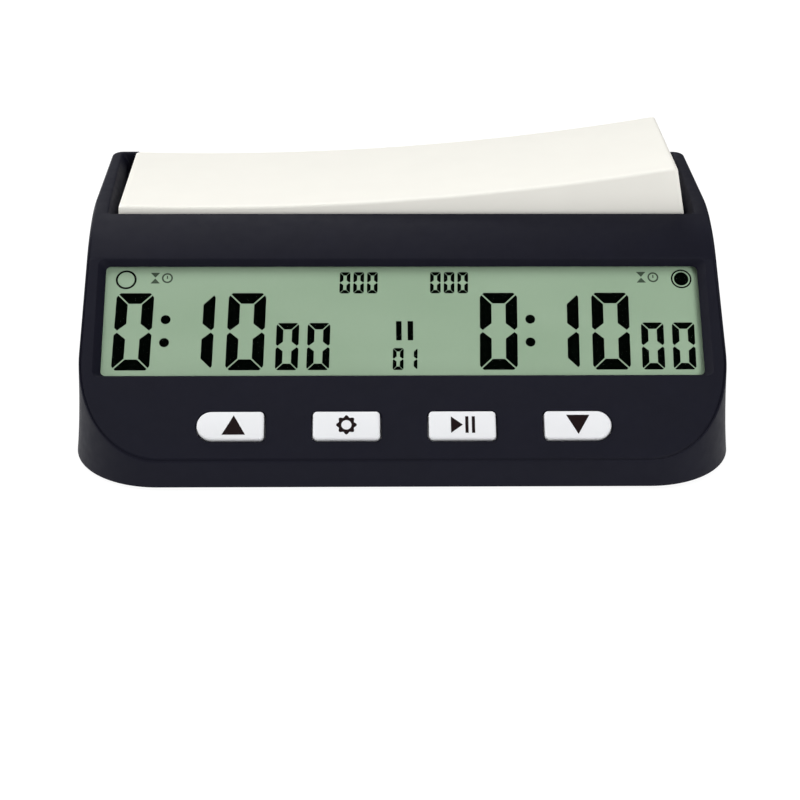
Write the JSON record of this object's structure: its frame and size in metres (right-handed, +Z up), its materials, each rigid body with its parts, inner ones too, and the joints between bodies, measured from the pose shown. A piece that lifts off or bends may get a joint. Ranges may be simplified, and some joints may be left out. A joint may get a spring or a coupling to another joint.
{
  "type": "digital chess clock",
  "caption": "Wedge-shaped digital chess clock with a long seesaw rocker along its top edge, a wide sloped LCD window and a row of keys under it.",
  "frame": {"origin": "centre of the footprint, on the surface that the four feet stand on", "axes": "+X to the right along the rocker as the player faces the display, +Y from the front lip towards the rear wall, +Z up"},
  "size_m": [0.159, 0.0966, 0.0605],
  "materials": {
    "case_plastic": "fine satin texture",
    "ivory_plastic": "smooth, semi-gloss",
    "button_plastic": "smooth, semi-gloss",
    "clear_plastic": "clear, polished",
    "display_glass": "grey-green liquid crystal cell",
    "reflector_foil": "satin foil",
    "black_plastic": "matte",
    "zebra_rubber": "matte",
    "circuit_board": "solder mask",
    "silicone": "matte",
    "black_rubber": "matte",
    "steel": "plated",
    "capacitor_sleeve": "printed sleeve",
    "cell_sleeve": "plain printed sleeve, no lettering",
    "ribbon_plastic": "matte",
    "lead_red": "insulated wire",
    "lead_black": "insulated wire"
  },
  "bodies": {
    "case": {"axle_clip_front": "steel", "axle_clip_rear": "steel", "battery_cell": "cell_sleeve", "battery_contact": "steel", "battery_spring": "steel", "board_screw_1": "steel", "board_screw_2": "steel", "board_screw_3": "steel", "board_screw_4": "steel", "buzzer": "black_plastic", "capacitor": "capacitor_sleeve", "case_screw_1": "steel", "case_screw_2": "steel", "case_screw_3": "steel", "case_screw_4": "steel", "controller_chip": "black_plastic", "foot_1": "black_rubber", "foot_2": "black_rubber", "foot_3": "black_rubber", "foot_4": "black_rubber", "keypad_mat": "silicone", "lcd_frame": "black_plastic", "lcd_glass": "display_glass", "lcd_reflector": "reflector_foil", "lead_black": "lead_black", "lead_red": "lead_red", "lower_case": "case_plastic", "main_board": "circuit_board", "power_switch_housing": "steel", "quartz_crystal": "steel", "ribbon_cable": "ribbon_plastic", "rocker_axle": "steel", "stop_pad_left": "black_rubber", "stop_pad_right": "black_rubber", "switch_board": "circuit_board", "switch_screw_1": "steel", "switch_screw_2": "steel", "turn_switch_housing": "steel", "upper_case": "case_plastic", "window_lens": "clear_plastic", "zebra_strip_lower": "zebra_rubber", "zebra_strip_upper": "zebra_rubber"},
    "rocker": {"rocker_bar": "ivory_plastic", "rocker_tongue": "black_plastic", "tongue_screw_1": "steel", "tongue_screw_2": "steel"},
    "turn_slider": {"turn_switch_slider": "black_plastic"},
    "key_up": {"button_up": "button_plastic"},
    "key_settings": {"button_settings": "button_plastic"},
    "key_play_pause": {"button_play_pause": "button_plastic"},
    "key_down": {"button_down": "button_plastic"},
    "power_knob": {"power_switch_knob": "button_plastic"},
    "door": {"battery_door": "case_plastic"}
  },
  "joints": [
    {"name": "rocker_tilt", "type": "hinge", "parent": "case", "child": "rocker", "pos_m": [0, 0, 0.04], "axis": [0, 1, 0], "range_deg": [0, 8.28]},
    {"name": "turn_switch_slide", "type": "slide", "parent": "case", "child": "turn_slider", "axis": [1, 0, 0], "range_m": [-0.0018, 0]},
    {"name": "key_up_press", "type": "slide", "parent": "case", "child": "key_up", "axis": [0, 0.6494, -0.7604], "range_m": [0, 0.001], "stiffness_N_per_m": 1000},
    {"name": "key_settings_press", "type": "slide", "parent": "case", "child": "key_settings", "axis": [0, 0.6494, -0.7604], "range_m": [0, 0.001], "stiffness_N_per_m": 1000},
    {"name": "key_play_pause_press", "type": "slide", "parent": "case", "child": "key_play_pause", "axis": [0, 0.6494, -0.7604], "range_m": [0, 0.001], "stiffness_N_per_m": 1000},
    {"name": "key_down_press", "type": "slide", "parent": "case", "child": "key_down", "axis": [0, 0.6494, -0.7604], "range_m": [0, 0.001], "stiffness_N_per_m": 1000},
    {"name": "power_slide", "type": "slide", "parent": "case", "child": "power_knob", "axis": [1, 0, 0], "range_m": [0, 0.003]},
    {"name": "battery_door_slide", "type": "slide", "parent": "case", "child": "door", "axis": [0, 1, 0], "range_m": [0, 0.023]}
  ],
  "couplings": [
    {"joint": "turn_switch_slide", "follows": "rocker_tilt", "m_per_rad": -0.0118}
  ]
}
